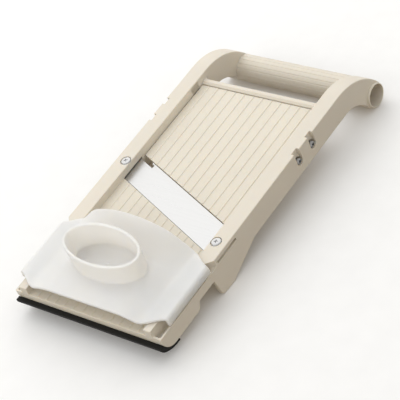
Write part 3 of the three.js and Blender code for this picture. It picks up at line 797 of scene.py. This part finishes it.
def blade():
    """A flat strip with two screw holes; between the tangs it is wider and ground sharp."""
    plan = [
        on_blade(BLADE_LEFT, BLADE_BACK),
        on_blade(BLADE_RIGHT, BLADE_BACK),
        on_blade(BLADE_RIGHT, BLADE_TANG),
        on_blade(EDGE_RIGHT, BLADE_TANG),
        on_blade(EDGE_RIGHT, BLADE_EDGE),
        on_blade(EDGE_LEFT, BLADE_EDGE),
        on_blade(EDGE_LEFT, BLADE_TANG),
        on_blade(BLADE_LEFT, BLADE_TANG),
    ]
    body = prism(plan, BLADE_TOP - BLADE_T, BLADE_TOP, edge=0.05, segments=1)
    holes = [rod_z(side * BLADE_SCREW_X, screw_y(side), BLADE_HOLE_R, -10, 0) for side in (-1, 1)]
    carve(body, bevel_cutter(), *holes)
    settle(body, "steel_blade", "frame", BLADE_STEEL, ["blade"], smooth=5)


def cross(x, y, z0, z1, reach, half, turn):
    """The two bars of a cross recess, as cutters."""
    bars = []
    for angle in (turn, turn + 90):
        c, s = math.cos(math.radians(angle)), math.sin(math.radians(angle))
        corners = [(-reach, -half), (reach, -half), (reach, half), (-reach, half)]
        bars.append(prism([(x + a * c - b * s, y + a * s + b * c) for a, b in corners], z0, z1))
    return bars


def screw_profile(length, radius, dome):
    """A screw's half section from the shank's end, at -length, to the top of its head."""
    return [(0, -length), (radius, -length), (radius, dome[0][1]), *dome]


def blade_screw(side, word):
    """A low round-headed screw with a small cross recess."""
    x, y = side * BLADE_SCREW_X, screw_y(side)
    body = lathe_z(x, y, screw_profile(BLADE_SCREW_LENGTH, BLADE_SCREW_R, BLADE_SCREW_DOME), 64)
    carve(body, *cross(x, y, -0.25, 1, reach=1.35, half=0.3, turn=20 if side > 0 else 38))
    settle(body, f"blade_screw_head_{word}", "frame", SCREW_STEEL, [f"blade_screw_{word}"])


def bridge_screw(side, word, index, y):
    """A pan-head screw along X, turned about Z first and then laid down."""
    body = lathe_z(0, 0, screw_profile(BRIDGE_SCREW_LENGTH, BRIDGE_SCREW_R, BRIDGE_SCREW_DOME), 48)
    carve(body, *cross(0, 0, 0.3, 3, reach=1.25, half=0.42, turn=25 * index))
    lay = Matrix.Rotation(side * math.pi / 2, 4, "Y")
    body.data.transform(Matrix.Translation((side * (GROOVE_FLOOR + 0.2), y, BRIDGE_SCREW_Z)) @ lay)
    node = f"bridge_screw_{word}_{index}"
    settle(body, f"side_screw_{word}_{index}", "frame", SIDE_STEEL, [node])


# ---------------------------------------------------------------- adjuster and foot
def bridge():
    """A shallow channel across the slicer, with an ear at each end for two side screws."""
    y0, y1 = BRIDGE_Y
    low, high = BRIDGE_Z
    beam = block(-BRIDGE_END, BRIDGE_END, y0, y1, low, high, 0.4)
    walls = [
        block(-EAR_X, EAR_X, y, y + BRIDGE_WALL, low + SINK, BRIDGE_WALL_TOP, 0.3)
        for y in (y0, y1 - BRIDGE_WALL)
    ]
    ears = [block(*mirrored(side, EAR_X, BRIDGE_END), y0, y1, low + SINK, EAR_TOP, 0.4) for side in (-1, 1)]
    body = fuse(beam, *walls, *ears)
    holes = [
        rod_x(y, BRIDGE_SCREW_Z, BRIDGE_HOLE_R, *mirrored(side, EAR_X - 0.5, BRIDGE_END + 1))
        for side in (-1, 1)
        for y in BRIDGE_SCREWS
    ]
    carve(body, rod_z(0, KNOB_Y, SHAFT_HOLE_R, low - 1, high + 1.2), *holes)
    settle(body, "bridge_beam", "frame", IVORY, ["adjuster_bridge"])


def knob():
    """A fluted knob with a hub above, a dish below and a blind bore for the shaft."""
    points = []
    step = 360 / KNOB_FLUTES
    for i in range(KNOB_FLUTES):
        for part, depth in KNOB_FLUTE:
            points.append(polar(0, KNOB_Y, KNOB_R - depth, (i + part) * step))
    low, high = KNOB_Z
    rim = prism(points, low, high, edge=0.5, angle=60)
    body = fuse(rim, rod_z(0, KNOB_Y, HUB_R, high - SINK, HUB_TOP, 48, 0.4))
    dish = rod_z(0, KNOB_Y, KNOB_DISH_R, low - 1, KNOB_DISH_Z, 64, 0.3)
    carve(body, dish, rod_z(0, KNOB_Y, SHAFT_HOLE_R, KNOB_DISH_Z + 0.5, HUB_TOP + 0.2))
    settle(body, "thickness_knob", "knob", IVORY, ["knob"])


def foot():
    """The rubber strip that wraps the foot's rounded front."""
    section = [
        (RUBBER_BACK, -FOOT_DEPTH - 0.1),
        *arc(FOOT_R, FOOT_R - FOOT_DEPTH, FOOT_R + 0.1, 270, 197, 12),
        *RUBBER_SKIRT,
    ]
    body = prism(section, -HALF_WIDTH, HALF_WIDTH, "X", edge=0.35, angle=40)
    settle(body, "rubber_foot_strip", "frame", RUBBER, ["rubber_foot"])


# ---------------------------------------------------------------- guard
def smooth_step(t):
    c = min(max(t, 0), 1)
    return c * c * (3 - 2 * c)


def crown(x, y):
    """How far the sheet rises over its flat sides: a low dome, and an arch at its back."""
    arch = max(0.0, 1 - (x / ARCH_HALF) ** 2)
    along = max(0.0, (y - ARCH_START) / (GUARD_BACK - ARCH_START))
    return (CROWN_RISE + CROWN_SLOPE * y) * smooth_step(arch * 1.5) + ARCH_RISE * arch * along**1.5


def corner_sweep(x, start, width, depth):
    """How far an edge of the sheet draws back towards its corners."""
    return depth * smooth_step((abs(x) - start) / width)


def front_edge(x):
    return GUARD_FRONT + corner_sweep(x, *FRONT_SWEEP)


def back_edge(x):
    return GUARD_BACK - corner_sweep(x, *BACK_SWEEP)


def guard_section():
    """The sheet's section from lip to lip: x, z and the outward normal. Its halves mirror each other."""
    lip_steps, round_steps, top_steps = 4, 8, 40
    lip = GUARD_TOP - GUARD_ROUND - GUARD_LIP
    points = [(GUARD_HALF, GUARD_LIP + lip * i / lip_steps, 1.0, 0.0) for i in range(lip_steps + 1)]
    flat = GUARD_HALF - GUARD_ROUND
    for i in range(1, round_steps + 1):
        a = math.radians(90 * i / round_steps)
        c, s = math.cos(a), math.sin(a)
        points.append((flat + GUARD_ROUND * c, GUARD_TOP - GUARD_ROUND * (1 - s), c, s))
    points += [(flat * (1 - i / top_steps), GUARD_TOP, 0.0, 1.0) for i in range(1, top_steps + 1)]
    other = [(-x, z, -nx, nz) for x, z, nx, nz in points[:-1]]
    return other + points[::-1]


def guard_sheet():
    """The sheet as two layers of a grid, joined along its edges."""
    section = guard_section()
    rows = 48
    mesh = bmesh.new()
    grid = []
    for depth in (0.0, GUARD_T):
        layer = []
        for j in range(rows + 1):
            line = []
            for x, z, nx, nz in section:
                y = front_edge(x) + (back_edge(x) - front_edge(x)) * j / rows
                rise = crown(x, y) if nz > 0.99 else 0.0
                line.append(mesh.verts.new((x - nx * depth, y, z - nz * depth + rise)))
            layer.append(line)
        grid.append(layer)
    top, under = grid
    last = len(section) - 1
    for j in range(rows):
        for i in range(last):
            mesh.faces.new((top[j][i], top[j][i + 1], top[j + 1][i + 1], top[j + 1][i]))
            mesh.faces.new((under[j][i], under[j + 1][i], under[j + 1][i + 1], under[j][i + 1]))
        for i in (0, last):
            mesh.faces.new((top[j][i], top[j + 1][i], under[j + 1][i], under[j][i]))
    for j in (0, rows):
        for i in range(last):
            mesh.faces.new((top[j][i], top[j][i + 1], under[j][i + 1], under[j][i]))
    return add_object("guard", mesh)


def oval_loft(inset, base, extra):
    """An oval drum from the height `base` to a flared rim that slopes up towards the handle.

    Its ovals are smaller than the cup's outer ones by `inset`, and its rim is higher by `extra`.
    """
    steps = 96
    base_a, base_b = (size - inset for size in CUP_BASE)
    rim_a, rim_b = (size - inset for size in CUP_RIM)
    front_z, back_z = CUP_RIM_Z
    mesh = bmesh.new()
    angles = [2 * math.pi * i / steps for i in range(steps)]

    def rim_z(y):
        return front_z + (back_z - front_z) * (y - CUP_Y + CUP_RIM[1]) / (2 * CUP_RIM[1]) + extra

    low = [mesh.verts.new((base_a * math.cos(a), CUP_Y + base_b * math.sin(a), base)) for a in angles]
    high = []
    for a in angles:
        y = CUP_Y + rim_b * math.sin(a)
        high.append(mesh.verts.new((rim_a * math.cos(a), y, rim_z(y))))
    mesh.faces.new(low)
    mesh.faces.new(high)
    for i in range(steps):
        n = (i + 1) % steps
        mesh.faces.new((low[i], low[n], high[n], high[i]))
    return add_object("oval", mesh)


def cup_trim():
    """Everything below the middle of the sheet's thickness, where the cup's wall ends."""
    mesh = bmesh.new()
    columns, rows, pitch = 34, 20, 2
    start, below = 12, -6
    top, low = [], []
    for j in range(rows + 1):
        y = start + pitch * j
        xs = [pitch * i - columns for i in range(columns + 1)]
        top.append([mesh.verts.new((x, y, GUARD_TOP + crown(x, y) - GUARD_T / 2)) for x in xs])
        low.append([mesh.verts.new((x, y, below)) for x in xs])
    for j in range(rows):
        for i in range(columns):
            mesh.faces.new((top[j][i], top[j][i + 1], top[j + 1][i + 1], top[j + 1][i]))
            mesh.faces.new((low[j][i], low[j + 1][i], low[j + 1][i + 1], low[j][i + 1]))
        for i in (0, columns):
            mesh.faces.new((top[j][i], top[j + 1][i], low[j + 1][i], low[j][i]))
    for j in (0, rows):
        for i in range(columns):
            mesh.faces.new((top[j][i], top[j][i + 1], low[j][i + 1], low[j][i]))
    return add_object("trim", mesh)


def guard():
    """The sheet, cup, spikes and gate mark, melted into one soft piece."""
    wall = carve(oval_loft(0, 3, 0), oval_loft(CUP_T, 2, 0.6), cup_trim())
    spikes = [lathe_z(x, y, SPIKE_PROFILE, 16) for x in SPIKE_XS for y in SPIKE_YS]
    dot = lathe_z(0, CUP_Y - 1, DOT_PROFILE, 24)
    body = gather("guard", guard_sheet(), wall, dot, *spikes)
    remesh = body.modifiers.new("remesh", "REMESH")
    remesh.mode = "VOXEL"
    remesh.voxel_size = VOXEL
    soften = body.modifiers.new("soften", "SMOOTH")
    soften.factor = 0.5
    soften.iterations = 6
    apply_modifiers(body)
    settle(body, "guard_shell", "guard", MILKY, ["guard_sheet", "guard_cup"], smooth=180)


# ---------------------------------------------------------------- build
for word, side in (("left", -1), ("right", 1)):
    side_rail(side, word)
    blade_screw(side, word)
    for index, y in enumerate(BRIDGE_SCREWS, 1):
        bridge_screw(side, word, index, y)
handle()
crossbar()
lower_table()
tang_pocket()
upper_table()
blade()
bridge()
knob()
foot()
guard()

for node, material in (
    ("blade_nut_left", SCREW_STEEL),
    ("blade_nut_right", SCREW_STEEL),
    ("table_pivot_pin_left", SCREW_STEEL),
    ("table_pivot_pin_right", SCREW_STEEL),
    ("thrust_washer", SCREW_STEEL),
    ("retaining_clip", SCREW_STEEL),
    ("knob_shaft", SCREW_STEEL),
    ("table_nut", NUT_METAL),
):
    slots = frame["nodes"][node].data.materials
    slots.clear()
    slots.append(material)


# ---------------------------------------------------------------- floor, lights and camera
def floor():
    """A pale sheet that runs out to the horizon, a hair below the rubber strip and the hooks."""
    mesh = bmesh.new()
    half = FLOOR_HALF
    corners = ((-half, -half), (half, -half), (half, half), (-half, half))
    mesh.faces.new([mesh.verts.new((x, y, FLOOR_Z)) for x, y in corners])
    plane = add_object("floor", mesh)
    material, nodes, links, shader = node_material("floor_paper")
    fibres = noise(nodes, links, 60)
    links.new(ramp(nodes, links, fibres, grey(0.92), grey(0.94)), shader.inputs["Base Color"])
    shader.inputs["Roughness"].default_value = 0.9
    shader.inputs["Specular IOR Level"].default_value = 0.1
    plane.data.materials.append(material)
    plane.visible_diffuse = False


def area_light(name, position, size, power):
    data = bpy.data.lights.new(name, "AREA")
    data.shape = "RECTANGLE"
    data.size, data.size_y = size
    data.energy = power
    light = bpy.data.objects.new(name, data)
    light.location = position
    light.rotation_mode = "QUATERNION"
    light.rotation_quaternion = (-Vector(position)).to_track_quat("-Z", "Y")
    bpy.context.scene.collection.objects.link(light)


def world(below, horizon, zenith):
    """A soft dome: warm at the horizon, cool overhead, and a weak warm bounce from below."""
    sky = bpy.data.worlds.new("studio")
    sky.use_nodes = True
    nodes, links = sky.node_tree.nodes, sky.node_tree.links
    coords = nodes.new("ShaderNodeTexCoord")
    split = nodes.new("ShaderNodeSeparateXYZ")
    height = nodes.new("ShaderNodeMapRange")
    height.inputs["From Min"].default_value = -1.0
    dome = nodes.new("ShaderNodeValToRGB")
    links.new(coords.outputs["Generated"], split.inputs["Vector"])
    links.new(split.outputs["Z"], height.inputs["Value"])
    links.new(height.outputs["Result"], dome.inputs["Fac"])
    stops = dome.color_ramp.elements
    stops[0].color = below
    stops[0].position = 0.49
    stops[1].color = zenith
    stops.new(0.5).color = horizon
    links.new(dome.outputs["Color"], nodes["Background"].inputs["Color"])
    bpy.context.scene.world = sky


def camera():
    """A long lens looking down on the slicer from the right of its foot."""
    turn = RAIL.to_3x3().normalized()
    z = turn @ -CAMERA_FORWARD
    y = turn @ CAMERA_UP
    axes = Matrix((y.cross(z), y, z)).transposed()
    data = bpy.data.cameras.new("camera")
    data.lens = CAMERA_LENS
    data.sensor_width = 36
    data.clip_start = 0.05
    view = bpy.data.objects.new("camera", data)
    view.matrix_world = Matrix.Translation(RAIL @ CAMERA_EYE) @ axes.to_4x4()
    bpy.context.scene.collection.objects.link(view)
    bpy.context.scene.camera = view


floor()
world((0.26, 0.22, 0.17, 1), (0.74, 0.69, 0.6, 1), (0.84, 0.85, 0.86, 1))
area_light("key", (-0.72, 0.6, 0.85), (1.6, 1.6), 7.6)
area_light("fill", (-0.35, -1.1, 0.5), (1.2, 0.8), 3)
camera()
bpy.context.scene.view_settings.view_transform = "Standard"
